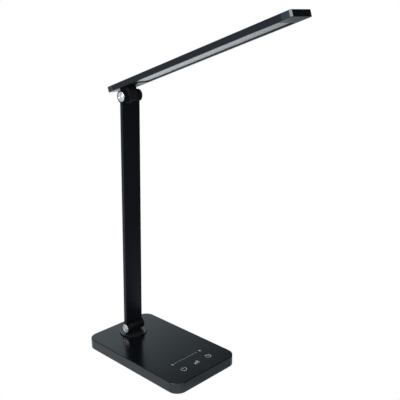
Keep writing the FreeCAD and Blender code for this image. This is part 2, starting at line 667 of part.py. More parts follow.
def hinge_nut():
    """Nut whose corners reach as far as the bolt head does."""
    nut = hexagon(BOLT_HEAD_RADIUS * math.sqrt(3), Vector(BOLT_SEAT, 0, 0), X_AXIS, BOLT_HEAD_HEIGHT)
    return nut.cut(cross_rod(BOLT_RADIUS + RUN_GAP, BOLT_SEAT - REACH, BARREL_END))


def friction_washers():
    """A washer between the middle knuckle and each outer knuckle."""
    inner, outer = CHEEK_INNER - FRICTION_WASHER_THICKNESS, CHEEK_INNER
    return [ring(KNUCKLE_RADIUS - FRICTION_WASHER_RIM, BOLT_RADIUS + RUN_GAP, X_AXIS * (side * inner),
                 X_AXIS * (side * outer)) for side in (-1, 1)]


def hinge_cap(side):
    """Bright turned cap, drawn as half a section with a bevelled rim and a shallow dome, and turned."""
    face_radius = CAP_RADIUS - CAP_BEVEL
    dome_radius = (face_radius ** 2 + CAP_DOME ** 2) / (2 * CAP_DOME)
    half_way = face_radius / 2
    half_rise = math.sqrt(dome_radius ** 2 - half_way ** 2) - (dome_radius - CAP_DOME)
    seat = Vector(side * CAP_SEAT, 0, 0)
    seat_rim = Vector(side * CAP_SEAT, 0, CAP_RADIUS)
    bevel = Vector(side * (BARREL_END - CAP_BEVEL), 0, CAP_RADIUS)
    face_rim = Vector(side * BARREL_END, 0, face_radius)
    dome_middle = Vector(side * (BARREL_END + half_rise), 0, half_way)
    crown = Vector(side * (BARREL_END + CAP_DOME), 0, 0)
    edges = [
        Part.LineSegment(seat, seat_rim).toShape(),
        Part.LineSegment(seat_rim, bevel).toShape(),
        Part.LineSegment(bevel, face_rim).toShape(),
        Part.Arc(face_rim, dome_middle, crown).toShape(),
        Part.LineSegment(crown, seat).toShape(),
    ]
    return Part.Face(Part.Wire(edges)).revolve(ORIGIN, X_AXIS, 360)


def hinge_caps():
    return [hinge_cap(-1), hinge_cap(1)]


# Light bar
def bar_block(half, start, end, z0, z1):
    """Block across the bar between two places along it."""
    return block(-half, half, -end, -start, z0, z1)


def bracket_screw_places():
    x = HINGE_PLATE_HALF - BRACKET_SCREW_INSET
    rear, front = HINGE_PLATE_REAR + BRACKET_SCREW_INSET, HINGE_PLATE_FRONT - BRACKET_SCREW_INSET
    return [(-x, -rear), (x, -rear), (-x, -front), (x, -front)]


def head_housing():
    """Roof and sides of the bar, with the bosses that the hinge is screwed to."""
    bar = bar_block(HEAD_HALF, TAIL_SEAM, TIP_SEAM, HEAD_UNDER, HEAD_TOP)
    bar = rounded(bar, HEAD_ROUND, lambda edge: runs_along(edge, Y_AXIS))
    channel = bar_block(HEAD_INNER_HALF, TAIL_SEAM - REACH, TIP_SEAM + REACH,
                        HEAD_UNDER - REACH, HEAD_ROOF_UNDER)
    screw_end = HEAD_UNDER + BRACKET_SCREW_LENGTH + SCREW_GAP
    bosses, holes = [], []
    for x, y in bracket_screw_places():
        bosses.append(upright_rod(BRACKET_BOSS_RADIUS, x, y, HINGE_PLATE_TOP, HEAD_ROOF_UNDER))
        holes.append(upright_rod(BRACKET_SCREW_RADIUS + SCREW_GAP, x, y, HINGE_PLATE_TOP - REACH, screw_end))
    return bar.cut(channel).fuse(bosses).cut(holes).removeSplitter()


def end_cap(seam, end):
    """Moulded end of the bar with rounded corners and a tongue inside the housing."""
    outward = 1 if end > seam else -1
    cap = bar_block(HEAD_HALF, min(seam, end), max(seam, end), HEAD_UNDER, HEAD_TOP)
    cap = rounded(cap, END_CORNER, lambda edge: runs_along(edge, Z_AXIS) and lies_at(edge, Y_AXIS, -end))
    cap = rounded(cap, HEAD_ROUND, lambda edge: not lies_at(edge, Y_AXIS, -seam)
                  and (lies_at(edge, Z_AXIS, HEAD_TOP) or lies_at(edge, Z_AXIS, HEAD_UNDER)))
    root = seam + outward * REACH
    inside = seam - outward * CAP_TONGUE
    tongue = bar_block(HEAD_INNER_HALF - FIT_GAP, min(root, inside), max(root, inside),
                       BEZEL_TOP + FIT_GAP, HEAD_ROOF_UNDER - FIT_GAP)
    return cap.fuse(tongue).removeSplitter()


def head_tip_cap():
    return end_cap(TIP_SEAM, HEAD_TIP)


def head_tail_cap():
    return end_cap(TAIL_SEAM, -HEAD_TAIL)


def head_bezel():
    """Bottom frame between the housing's sides, with the light window and the hinge plate's opening."""
    half_gap = FIT_GAP / 2
    plate = bar_block(HEAD_INNER_HALF - half_gap, TAIL_SEAM, TIP_SEAM, HEAD_UNDER, BEZEL_TOP)
    window = rounded_slab(-WINDOW_HALF, WINDOW_HALF, -WINDOW_END, -WINDOW_START,
                          HEAD_UNDER - REACH, BEZEL_TOP + REACH, WINDOW_CORNER)
    opening = bar_block(HINGE_PLATE_HALF + half_gap, HINGE_PLATE_REAR - half_gap,
                        HINGE_PLATE_FRONT + half_gap, HEAD_UNDER - REACH, BEZEL_TOP + REACH)
    return plate.cut([window, opening])


def head_bracket():
    """Upper hinge's middle knuckle, its neck, and the plate that is screwed into the bar."""
    plate = bar_block(HINGE_PLATE_HALF, HINGE_PLATE_REAR, HINGE_PLATE_FRONT, HEAD_UNDER, HINGE_PLATE_TOP)
    holes = [upright_rod(NECK_BORE, 0, 0, 0, HINGE_PLATE_TOP + REACH)]
    for x, y in bracket_screw_places():
        holes.append(countersunk_hole(Vector(x, y, HEAD_UNDER), Z_AXIS, BRACKET_SCREW_HEAD,
                                      BRACKET_SCREW_RADIUS, HINGE_PLATE_THICKNESS + REACH))
    return middle_knuckle(HEAD_UNDER).fuse(plate).cut(holes).removeSplitter()


def bracket_screws():
    return [countersunk_screw(Vector(x, y, HEAD_UNDER), Z_AXIS, BRACKET_SCREW_HEAD, BRACKET_SCREW_RADIUS,
                              BRACKET_SCREW_LENGTH) for x, y in bracket_screw_places()]


def diffuser():
    """Milky strip on the bottom frame, over the window."""
    start, end = WINDOW_START - DIFFUSER_OVERLAP, WINDOW_END + DIFFUSER_OVERLAP
    return bar_block(HEAD_INNER_HALF - FIT_GAP, start, end, BEZEL_TOP, LED_UNDER - LED_TO_DIFFUSER)


def led_board():
    half = WINDOW_HALF - LED_BOARD_EDGE
    return bar_block(half, WINDOW_START, WINDOW_END, LED_BOARD_UNDER, HEAD_ROOF_UNDER)


def leds():
    """Two rows of light-emitting packages under the board, evenly spaced along the window."""
    first, last = WINDOW_START + LED_END_MARGIN, WINDOW_END - LED_END_MARGIN
    spaces = int((last - first) / LED_PITCH)
    step = (last - first) / spaces
    packages = []
    for row in (-1, 1):
        x = row * LED_ROWS_APART / 2
        for index in range(spaces + 1):
            y = -(first + index * step)
            packages.append(block(x - LED_WIDTH / 2, x + LED_WIDTH / 2,
                                  y - LED_LENGTH / 2, y + LED_LENGTH / 2, LED_UNDER, LED_BOARD_UNDER))
    return packages


def head_wires():
    """Two cores up the neck's bore and along the roof to the end of the light board."""
    height = HEAD_ROOF_UNDER - HEAD_WIRE_RADIUS - FIT_GAP / 2
    wires = []
    for side in (-1, 1):
        x = side * (HEAD_WIRE_RADIUS + FIT_GAP)
        points = [
            Vector(x, 0, BOLT_RADIUS + WIRE_END_GAP),
            Vector(x, 0, height),
            Vector(x, -WINDOW_START + FIT_GAP, height),
        ]
        wires.append(lead(points, HEAD_WIRE_RADIUS, [HEAD_WIRE_BEND]))
    return wires


# Which function makes each node, and how it is carried to its place
BASE_NODES = {
    "base_shell": base_shell,
    "base_cover": base_cover,
    "cover_screws": cover_screws,
    "non_slip_pad": non_slip_pad,
    "ballast_plate": ballast_plate,
    "touch_electrodes": touch_electrodes,
    "control_board": control_board,
    "board_screws": board_screws,
    "board_components": board_components,
    "dc_jack": dc_jack,
    "dc_jack_pin": dc_jack_pin,
    "supply_lead": supply_lead,
    "swivel_disc": swivel_disc,
    "pedestal": pedestal,
    "slip_washer": slip_washer,
    "spring_washer": spring_washer,
    "swivel_nut": swivel_nut,
    "swivel_wires": swivel_wires,
}
ARM_NODES = {
    "lower_fork": hinge_fork,
    "lower_hinge_bolt": hinge_bolt,
    "lower_hinge_nut": hinge_nut,
    "lower_friction_washers": friction_washers,
    "lower_hinge_caps": hinge_caps,
    "arm_tube": arm_tube,
    "arm_wires": arm_wires,
    "fork_screws": fork_screws,
}
ARM_TOP_NODES = {
    "upper_fork": hinge_fork,
    "upper_hinge_bolt": hinge_bolt,
    "upper_hinge_nut": hinge_nut,
    "upper_friction_washers": friction_washers,
    "upper_hinge_caps": hinge_caps,
}
HEAD_NODES = {
    "head_bracket": head_bracket,
    "bracket_screws": bracket_screws,
    "head_housing": head_housing,
    "head_tail_cap": head_tail_cap,
    "head_tip_cap": head_tip_cap,
    "head_bezel": head_bezel,
    "diffuser": diffuser,
    "led_board": led_board,
    "leds": leds,
    "head_wires": head_wires,
}


def write_nodes(nodes, carry):
    """Write each node, made of one solid or of several, to a file of its own."""
    for name, make in nodes.items():
        made = make()
        pieces = made if isinstance(made, list) else [made]
        solids = [solid for piece in pieces for solid in carry(piece).Solids]
        if not all(solid.isValid() and solid.Volume > 0 for solid in solids):
            raise ValueError(f"{name} has a solid that isn't valid")
        shape = solids[0] if len(solids) == 1 else Part.makeCompound(solids)
        shape.exportStep(f"parts/{name}.step")
        print(f"{name}: {len(solids)} solids, {shape.Volume / 1000:.2f} cm3")


os.makedirs("parts", exist_ok=True)
write_nodes(BASE_NODES, stay)
write_nodes(ARM_NODES, place_arm)
write_nodes(ARM_TOP_NODES, place_arm_top)
write_nodes(HEAD_NODES, place_head)
print(f"lower hinge at y {PIVOT_Y:.3f}, z {PIVOT_Z:.3f}")
print(f"upper hinge at y {arm_top().y:.3f}, z {arm_top().z:.3f}")
print(f"power socket at y {REAR:.3f}, z {JACK_Z:.3f}")
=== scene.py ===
# %% [markdown]
# # A folding LED desk lamp
# This lesson dresses a finished construction model of a slim desk lamp.  The model comes in as a fixed
# frame: every casing, hinge and screw is already at its real size and place.  The work left for Blender
# is what the eye sees: the camera, the light, the finish of each surface, and the few pieces whose shape
# is finer than a construction model needs, such as turned caps and printed touch symbols.

# %% Load the frame
import json
import math

import bpy
import numpy as np
from mathutils import Matrix, Vector


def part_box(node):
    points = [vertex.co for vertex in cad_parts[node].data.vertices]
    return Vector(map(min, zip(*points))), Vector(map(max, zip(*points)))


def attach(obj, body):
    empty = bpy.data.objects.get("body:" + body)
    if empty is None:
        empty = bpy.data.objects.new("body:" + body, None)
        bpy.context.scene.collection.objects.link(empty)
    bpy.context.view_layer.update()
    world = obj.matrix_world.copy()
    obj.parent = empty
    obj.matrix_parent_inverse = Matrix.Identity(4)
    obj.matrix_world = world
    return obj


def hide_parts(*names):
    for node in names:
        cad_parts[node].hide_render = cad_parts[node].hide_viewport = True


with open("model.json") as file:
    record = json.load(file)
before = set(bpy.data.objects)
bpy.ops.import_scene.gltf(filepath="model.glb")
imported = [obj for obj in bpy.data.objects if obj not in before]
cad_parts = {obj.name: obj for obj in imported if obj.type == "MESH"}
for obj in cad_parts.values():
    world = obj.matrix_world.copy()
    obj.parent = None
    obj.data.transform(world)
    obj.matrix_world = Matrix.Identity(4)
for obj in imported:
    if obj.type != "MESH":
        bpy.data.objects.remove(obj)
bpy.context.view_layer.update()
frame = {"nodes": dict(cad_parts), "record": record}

MM = 0.001
print("pieces in the frame:", len(frame["nodes"]))

# %% [markdown]
# ## Camera
# The photograph was taken from the lamp's front left, at about the height of the light bar's tip.  A
# camera can be aimed by eye, but here its place and three angles are known from the straight edges of
# base, arm and bar, so its matrix is written from them: the columns are the camera's right, its up, and
# the direction that points back from the lens.

# %% Place the camera
CAMERA_PLACE = Vector((-0.550874, -0.616617, 0.470053))
CAMERA_YAW = math.radians(-45.79)
CAMERA_PITCH = math.radians(16.146)
CAMERA_ROLL = math.radians(-0.207)
CAMERA_LENS = 57.82
SENSOR_WIDTH = 36.0


def camera_matrix(place, yaw, pitch, roll):
    """Matrix of a camera at a place, turned by yaw, tipped by pitch and rolled."""
    back = Vector((math.sin(yaw) * math.cos(pitch), -math.cos(yaw) * math.cos(pitch), math.sin(pitch)))
    level = Vector((math.cos(yaw), math.sin(yaw), 0.0))
    rise = back.cross(level)
    right = math.cos(roll) * level + math.sin(roll) * rise
    up = math.cos(roll) * rise - math.sin(roll) * level
    turned = Matrix((right, up, back)).transposed().to_4x4()
    return Matrix.Translation(place) @ turned


lens = bpy.data.cameras.new("photo_camera")
lens.sensor_width = SENSOR_WIDTH
lens.lens = CAMERA_LENS
camera = bpy.data.objects.new("photo_camera", lens)
bpy.context.scene.collection.objects.link(camera)
camera.matrix_world = camera_matrix(CAMERA_PLACE, CAMERA_YAW, CAMERA_PITCH, CAMERA_ROLL)
bpy.context.scene.camera = camera
print("camera stands", round(CAMERA_PLACE.length, 3), "m from the middle of the base")

# %% [markdown]
# ## Nodes from a script
# Materials and the room's light are trees of nodes.  In the editor they are wired by hand.  Here small
# functions place a node, set its values and give back the socket that comes out of it, so that one call can
# feed the next.  The light uses them first, and the finishes use them again.

# %% Node helpers


def place_node(tree, kind, **settings):
    """Add a node to a tree and set its properties by name."""
    node = tree.nodes.new(kind)
    for name, value in settings.items():
        setattr(node, name, value)
    return node


def smooth_fall(tree, value, start, end, high, low):
    """Socket that goes smoothly from high at start to low at end."""
    fall = place_node(tree, "ShaderNodeMapRange", interpolation_type="SMOOTHSTEP")
    tree.links.new(value, fall.inputs["Value"])
    fall.inputs["From Min"].default_value = start
    fall.inputs["From Max"].default_value = end
    fall.inputs["To Min"].default_value = high
    fall.inputs["To Max"].default_value = low
    return fall.outputs["Result"]


def calculate(tree, operation, first, second):
    """Socket with a sum, product or the like of two sockets or numbers."""
    node = place_node(tree, "ShaderNodeMath", operation=operation)
    for value, socket in ((first, node.inputs[0]), (second, node.inputs[1])):
        if isinstance(value, (int, float)):
            socket.default_value = value
        else:
            tree.links.new(value, socket)
    return node.outputs["Value"]


def length_of(tree, vector):
    """Socket with the length of a vector."""
    node = place_node(tree, "ShaderNodeVectorMath", operation="LENGTH")
    tree.links.new(vector, node.inputs[0])
    return node.outputs["Value"]


def distance_along(tree, vector, direction):
    """Socket with a vector's length along a fixed direction."""
    dot = place_node(tree, "ShaderNodeVectorMath", operation="DOT_PRODUCT")
    tree.links.new(vector, dot.inputs[0])
    dot.inputs[1].default_value = direction
    return dot.outputs["Value"]


def glow_along(tree, along, pairs, tint):
    """Colour socket whose brightness follows a value socket through pairs of value and brightness."""
    first, last = pairs[0][0], pairs[-1][0]
    share = place_node(tree, "ShaderNodeMapRange")
    tree.links.new(along, share.inputs["Value"])
    share.inputs["From Min"].default_value = first
    share.inputs["From Max"].default_value = last
    ramp = place_node(tree, "ShaderNodeValToRGB")
    stops = ramp.color_ramp.elements
    while len(stops) < len(pairs):
        stops.new(0.5)
    for stop, (value, glow) in zip(stops, pairs):
        stop.position = (value - first) / (last - first)
        stop.color = (*(glow * part for part in tint), 1)
    tree.links.new(share.outputs["Result"], ramp.inputs["Fac"])
    return ramp.outputs["Color"]


def sum_of(tree, first, second):
    """Shader socket that adds two shaders."""
    both = place_node(tree, "ShaderNodeAddShader")
    tree.links.new(first, both.inputs[0])
    tree.links.new(second, both.inputs[1])
    return both.outputs["Shader"]


def choose(tree, factor, first, second):
    """Shader socket that shows the first shader where factor is 0 and the second where it is 1."""
    mix = place_node(tree, "ShaderNodeMixShader")
    tree.links.new(factor, mix.inputs["Fac"])
    tree.links.new(first, mix.inputs[1])
    tree.links.new(second, mix.inputs[2])
    return mix.outputs["Shader"]


# %% [markdown]
# ## Pale floor
# A black lamp is drawn mostly by what it mirrors, so the floor matters more than the lights.  One white
# sheet could do for lens and mirror alike, but at full brightness it would turn the black grey.  So the
# lens sees a plain white sheet, as in a product photograph on white, and every other ray sees a sheet with
# a slight sheen and a painted glow: a painted pool of light round the lamp that is bright at the left and
# behind it and falls off towards its front right, as paper does away from a window.  The lamp's own soft
# shadow is painted into that glow as well, not cast by a lamp, and the arm mirrors it near its foot.  The
# sheet is clear from below, so that the underside of the base can be looked at too.

# %% Lay the floor
# the lit pool and the lamp's shadow below are painted into the sheet's glow, not cast by the lamps
FLOOR_HALF = 2.2
FLOOR_FALL = Vector((0.5, -0.866, 0.0))     # from the bright side of the floor to the dim side
# pairs of the distance along that fall and the brightness there
FLOOR_GLOW = ((0.06, 0.80), (0.085, 0.42), (0.13, 0.42), (0.165, 0.26), (0.41, 0.105), (0.70, 0.08))
POOL_START = 1.0                            # distance from the lamp at which the lit pool begins to fade
POOL_END = 1.8
BEYOND_POOL = 0.35                          # share of the brightness that is left outside the pool
SHADOW_ACROSS = Vector((0.85, 0.53, 0.0))   # the lamp's shadow runs to the front right; this is across it
SHADOW_START = (0.002, 0.028)               # it deepens between these distances across it
SHADOW_END = (0.043, 0.068)                 # and fades out between these
SHADOW_DEPTH = 0.97
FLOOR_TINT = (0.91, 1.0, 1.08)
FLOOR_SHEEN = 0.07
FLOOR_SHEEN_ROUGHNESS = 0.3


def painted_shadow_band(tree, vector):
    """Socket with the share of the glow that is left in the lamp's painted soft shadow."""
    across = distance_along(tree, vector, SHADOW_ACROSS)
    deepening = smooth_fall(tree, across, *SHADOW_START, 0.0, SHADOW_DEPTH)
    fading = smooth_fall(tree, across, *SHADOW_END, 1.0, 0.0)
    return calculate(tree, "SUBTRACT", 1.0, calculate(tree, "MULTIPLY", deepening, fading))


def pale_sheet():
    """Floor finish: plain white for the lens, a painted glow that falls off and a sheen for other rays."""
    material = bpy.data.materials.new("pale_sheet")
    material.use_nodes = True
    tree = material.node_tree
    tree.nodes.clear()
    where = place_node(tree, "ShaderNodeTexCoord").outputs["Object"]
    along = distance_along(tree, where, FLOOR_FALL)
    glow = place_node(tree, "ShaderNodeEmission")
    tree.links.new(glow_along(tree, along, FLOOR_GLOW, FLOOR_TINT), glow.inputs["Color"])
    pool = smooth_fall(tree, length_of(tree, where), POOL_START, POOL_END, 1.0, BEYOND_POOL)
    # painted light: the pool's fall times the painted shadow sets the strength of the sheet's glow
    lit = calculate(tree, "MULTIPLY", pool, painted_shadow_band(tree, where))
    tree.links.new(lit, glow.inputs["Strength"])
    sheen = place_node(tree, "ShaderNodeBsdfAnisotropic")
    sheen.inputs["Color"].default_value = (FLOOR_SHEEN, FLOOR_SHEEN, FLOOR_SHEEN, 1)
    sheen.inputs["Roughness"].default_value = FLOOR_SHEEN_ROUGHNESS
    mirrored = sum_of(tree, glow.outputs["Emission"], sheen.outputs["BSDF"])
    white = place_node(tree, "ShaderNodeEmission")
    rays = place_node(tree, "ShaderNodeLightPath")
    sheet = choose(tree, rays.outputs["Is Camera Ray"], mirrored, white.outputs["Emission"])
    side = place_node(tree, "ShaderNodeNewGeometry")
    clear = place_node(tree, "ShaderNodeBsdfTransparent")
    one_sided = choose(tree, side.outputs["Backfacing"], sheet, clear.outputs["BSDF"])
    tree.links.new(one_sided, place_node(tree, "ShaderNodeOutputMaterial").inputs["Surface"])
    return material


def floor_square():
    """Square of four corners about the origin, facing up."""
    corners = np.array([(-1, -1, 0), (1, -1, 0), (1, 1, 0), (-1, 1, 0)]) * FLOOR_HALF
    mesh = bpy.data.meshes.new("floor")
    mesh.from_pydata(corners.tolist(), [], [(0, 1, 2, 3)])
    mesh.materials.append(pale_sheet())
    floor = bpy.data.objects.new("floor", mesh)
    bpy.context.scene.collection.objects.link(floor)
    return floor


print("floor covers", [round(side, 2) for side in floor_square().dimensions], "m")

# %% [markdown]
# ## Soft room light
# A studio could be built from cards and lamps.  Here the room itself is a smooth gradient: a pale wall at
# the left and behind, which ends along a slanting edge behind the lamp and along a slanting top, and a dim
# room in front and overhead.  The black base mirrors the wall's edge as its long soft gradient.
# Soft boxes stand in the room as well: two by the camera, a bluish window at the left and a lamp overhead.
# Only they give the small glints on corners and knuckles.  Radiance is chosen first, and each lamp's power
# follows from it and from the area of the box.

# %% Light the room
WALL_EDGE = Vector((-0.46, 0.76, -0.46))    # points from the edge of the pale wall into it
# pairs of the way into the wall and the brightness there
WALL_GLOW = ((-0.6, 0.05), (-0.08, 0.17), (0.0, 0.48), (0.08, 0.91))
WALL_TOP = Vector((-0.441, -0.607, 1.0))    # points up across the wall's top, highest behind the lamp
WALL_TOP_START = -0.185
WALL_TOP_END = -0.07
ABOVE_WALL = 0.2                            # share of the wall's brightness that is left above its top
ROOM_TINT = (0.84, 1.0, 1.06)
BOX_TINT = (0.92, 1.0, 1.06)
WINDOW_TINT = (0.72, 1.0, 1.45)
LAMP_MIDDLE = Vector((0, 0, 0.25))
BOX_DISTANCE = 1.6


def room_gradient():
    """World light: white for the lens, else a wall that ends at a slanting edge and dims with height."""
    world = bpy.data.worlds.new("soft_room")
    bpy.context.scene.world = world
    world.use_nodes = True
    tree = world.node_tree
    tree.nodes.clear()
    where = place_node(tree, "ShaderNodeTexCoord")
    inside = distance_along(tree, where.outputs["Generated"], WALL_EDGE)
    height = distance_along(tree, where.outputs["Generated"], WALL_TOP)
    room = place_node(tree, "ShaderNodeBackground")
    tree.links.new(glow_along(tree, inside, WALL_GLOW, ROOM_TINT), room.inputs["Color"])
    below_top = smooth_fall(tree, height, WALL_TOP_START, WALL_TOP_END, 1.0, ABOVE_WALL)
    tree.links.new(below_top, room.inputs["Strength"])
    paper = place_node(tree, "ShaderNodeBackground")
    paper.inputs["Color"].default_value = (1, 1, 1, 1)
    rays = place_node(tree, "ShaderNodeLightPath")
    seen = choose(tree, rays.outputs["Is Camera Ray"],
                  room.outputs["Background"], paper.outputs["Background"])
    tree.links.new(seen, place_node(tree, "ShaderNodeOutputWorld").inputs["Surface"])


def soft_box(name, azimuth, elevation, width, height, radiance, tint=BOX_TINT):
    """Rectangular lamp that faces the desk lamp's middle, unseen by the lens itself."""
    turn, rise = math.radians(azimuth), math.radians(elevation)
    away = Vector((math.cos(rise) * math.cos(turn), math.cos(rise) * math.sin(turn), math.sin(rise)))
    box = bpy.data.lights.new(name, "AREA")
    box.shape = "RECTANGLE"
    box.size = width
    box.size_y = height
    box.color = tint
    box.energy = radiance * math.pi * width * height
    holder = bpy.data.objects.new(name, box)
    bpy.context.scene.collection.objects.link(holder)
    holder.location = LAMP_MIDDLE + away * BOX_DISTANCE
    holder.rotation_euler = away.to_track_quat("Z", "Y").to_euler()
    holder.visible_camera = False
    print(name, "has", round(box.energy, 2), "W")


room_gradient()
soft_box("shoulder_box", azimuth=-150, elevation=24, width=2.4, height=0.42, radiance=9.0)
soft_box("side_box", azimuth=-94, elevation=31, width=1.4, height=0.42, radiance=8.5)
soft_box("window_box", azimuth=161, elevation=6, width=1.5, height=0.6, radiance=0.9, tint=WINDOW_TINT)
soft_box("overhead_box", azimuth=169, elevation=60, width=0.5, height=0.2, radiance=36.0)
bpy.context.scene.view_settings.view_transform = "Standard"

# %% [markdown]
# ## Shared surface effects
# Moulded grain, drawn lines, handling marks and settled dust turn up on several finishes.  They could be
# wired anew in each material, but a node group is built once: it takes sizes in millimetres and gives out
# masks or heights, and the materials decide what to do with them.  All groups read Object coordinates, so a
# pattern stays with its piece when the lamp folds.

# %% Group helpers


def start_group(name, inputs, outputs):
    """New shader group with number sockets: inputs by name with a first value, outputs by name."""
    group = bpy.data.node_groups.new(name, "ShaderNodeTree")
    for label, value in inputs.items():
        socket = group.interface.new_socket(label, in_out="INPUT", socket_type="NodeSocketFloat")
        socket.default_value = value
    for label in outputs:
        group.interface.new_socket(label, in_out="OUTPUT", socket_type="NodeSocketFloat")
    return group, group.nodes.new("NodeGroupInput"), group.nodes.new("NodeGroupOutput")


def noise_at(tree, vector, scale, detail, roughness=0.5):
    """Socket with a soft noise from 0 to 1 on a vector socket; scale is a socket or a number."""
    noise = place_node(tree, "ShaderNodeTexNoise")
    tree.links.new(vector, noise.inputs["Vector"])
    if isinstance(scale, (int, float)):
        noise.inputs["Scale"].default_value = scale
    else:
        tree.links.new(scale, noise.inputs["Scale"])
    noise.inputs["Detail"].default_value = detail
    noise.inputs["Roughness"].default_value = roughness
    return noise.outputs["Fac"]


# %% [markdown]
# ### Moulded grain
# A moulded or painted skin is never quite smooth: it has pebbles a few tenths of a millimetre wide, and its
# gloss wanders over a few centimetres.  An image of such a grain would show where it repeats, so two noises
# give both.

# %% Build the grain group
GLOSS_SCALE = 38.0            # waves of the gloss in a metre
NOISE_SWING = 4.0             # brings a noise's usual swing of a quarter up to the whole spread


def moulded_grain():
    """Height of fine pebbles, and a roughness that wanders about its middle by a spread."""
    group, entry, leave = start_group(
        "moulded_grain", {"Pebble": 0.4, "Roughness": 0.3, "Spread": 0.05}, ("Height", "Roughness"))
    join = group.links.new
    where = place_node(group, "ShaderNodeTexCoord").outputs["Object"]
    pebble_scale = calculate(group, "DIVIDE", 1 / MM, entry.outputs["Pebble"])
    join(noise_at(group, where, pebble_scale, detail=2.0), leave.inputs["Height"])
    gloss = noise_at(group, where, GLOSS_SCALE, detail=4.0, roughness=0.6)
    wander = calculate(group, "SUBTRACT", gloss, 0.5)
    swing = calculate(group, "MULTIPLY", entry.outputs["Spread"], NOISE_SWING)
    spread = calculate(group, "MULTIPLY", wander, swing)
    join(calculate(group, "ADD", entry.outputs["Roughness"], spread), leave.inputs["Roughness"])
    return group


GRAIN = moulded_grain()
print("group", GRAIN.name, "with", len(GRAIN.nodes), "nodes")

# %% [markdown]
# ### Drawn lines
# An extruded tube, a turned cap or a rolled plate carries fine lines along the way it was worked.  An image
# of them would need unwrapped faces.  A noise that is stretched along one axis needs none: the vector is
# multiplied by a small number along the line and by a large one across it.

# %% Build the line group


def drawn_lines():
    """Height of fine lines: noise on coordinates that are scaled apart along X, Y and Z."""
    group, entry, leave = start_group(
        "drawn_lines", {"Along X": 1.0, "Along Y": 1.0, "Along Z": 1.0}, ("Height",))
    join = group.links.new
    where = place_node(group, "ShaderNodeTexCoord").outputs["Object"]
    scales = place_node(group, "ShaderNodeCombineXYZ")
    for axis in "XYZ":
        join(calculate(group, "DIVIDE", 1 / MM, entry.outputs["Along " + axis]), scales.inputs[axis])
    stretched = place_node(group, "ShaderNodeVectorMath", operation="MULTIPLY")
    join(where, stretched.inputs[0])
    join(scales.outputs["Vector"], stretched.inputs[1])
    join(noise_at(group, stretched.outputs["Vector"], 1.0, detail=3.0), leave.inputs["Height"])
    return group


LINES = drawn_lines()
print("group", LINES.name, "with", len(LINES.nodes), "nodes")

# %% [markdown]
# ### Handling marks and dust
# Fingers leave soft dull patches on glossy black, and dust settles on it as sparse pale specks.  Both could
# be painted on by hand, but patterns cover every piece alike.  The marks are a noise that is cut off low,
# and the specks are the cores of a few cells of a Voronoi pattern.

# %% Build the mark group
PATCH_EDGE = (0.48, 0.72)     # the noise turns into a patch between these values
SPECK_EDGE = (0.03, 0.07)     # a speck fades out between these shares of the spacing
BARE_CELLS = 0.7              # share of the cells that hold no speck


def handling_marks():
    """Mask of soft patches, and a mask of sparse specks that are a few tenths of a millimetre wide."""
    group, entry, leave = start_group(
        "handling_marks", {"Patch": 30.0, "Speck Spacing": 2.5}, ("Patches", "Specks"))
    join = group.links.new
    where = place_node(group, "ShaderNodeTexCoord").outputs["Object"]
    patch_scale = calculate(group, "DIVIDE", 1 / MM, entry.outputs["Patch"])
    patches = noise_at(group, where, patch_scale, detail=5.0, roughness=0.65)
    join(smooth_fall(group, patches, *PATCH_EDGE, 0.0, 1.0), leave.inputs["Patches"])
    cells = place_node(group, "ShaderNodeTexVoronoi")
    join(where, cells.inputs["Vector"])
    join(calculate(group, "DIVIDE", 1 / MM, entry.outputs["Speck Spacing"]), cells.inputs["Scale"])
    core = smooth_fall(group, cells.outputs["Distance"], *SPECK_EDGE, 1.0, 0.0)
    chosen = place_node(group, "ShaderNodeSeparateColor")
    join(cells.outputs["Color"], chosen.inputs["Color"])
    few = calculate(group, "GREATER_THAN", chosen.outputs["Red"], BARE_CELLS)
    join(calculate(group, "MULTIPLY", core, few), leave.inputs["Specks"])
    return group


MARKS = handling_marks()
print("group", MARKS.name, "with", len(MARKS.nodes), "nodes")

# %% [markdown]
# ## Black finishes
# Base, arm, hinges and light bar are all black, but not the same black.  The base and its disc are a smooth
# satin moulding that mirrors the room, the arm is an extruded tube with faint lines along it, the hinge
# parts are cast and painted, and the light bar is matt.  Each could have its own tree of nodes, but they
# differ mostly in numbers, so one function sets up what they share and each finish passes its own sizes.
# The turned edge of the disc is made dark metal, a painted shade that dims its glint and darkens its
# outline, and a mask by the distance from the disc's axis picks it out.

# %% Material helpers


def new_finish(name):
    """Material with its Principled shader."""
    material = bpy.data.materials.new(name)
    material.use_nodes = True
    return material, material.node_tree, material.node_tree.nodes["Principled BSDF"]


def add_group(tree, group, **values):
    """Place a node group and set its inputs; an underscore in a name stands for a space."""
    node = place_node(tree, "ShaderNodeGroup", node_tree=group)
    for label, value in values.items():
        node.inputs[label.replace("_", " ")].default_value = value
    return node


def add_bump(tree, shader, height, depth_mm):
    """Bump of a depth in millimetres from a height socket to the shader's normal."""
    bump = place_node(tree, "ShaderNodeBump")
    bump.inputs["Distance"].default_value = depth_mm * MM
    tree.links.new(height, bump.inputs["Height"])
    tree.links.new(bump.outputs["Normal"], shader.inputs["Normal"])


def colour_socket(sockets, name):
    """The colour socket of that name on a Mix node, which keeps one of each kind under the same name."""
    return next(socket for socket in sockets if socket.name == name and socket.type == "RGBA")


def mix_colour(tree, factor, first, second):
    """Socket with a colour between two colours or sockets."""
    mix = place_node(tree, "ShaderNodeMix", data_type="RGBA")
    tree.links.new(factor, mix.inputs["Factor"])
    for value, label in ((first, "A"), (second, "B")):
        socket = colour_socket(mix.inputs, label)
        if isinstance(value, tuple):
            socket.default_value = (*value, 1)
        else:
            tree.links.new(value, socket)
    return colour_socket(mix.outputs, "Result")


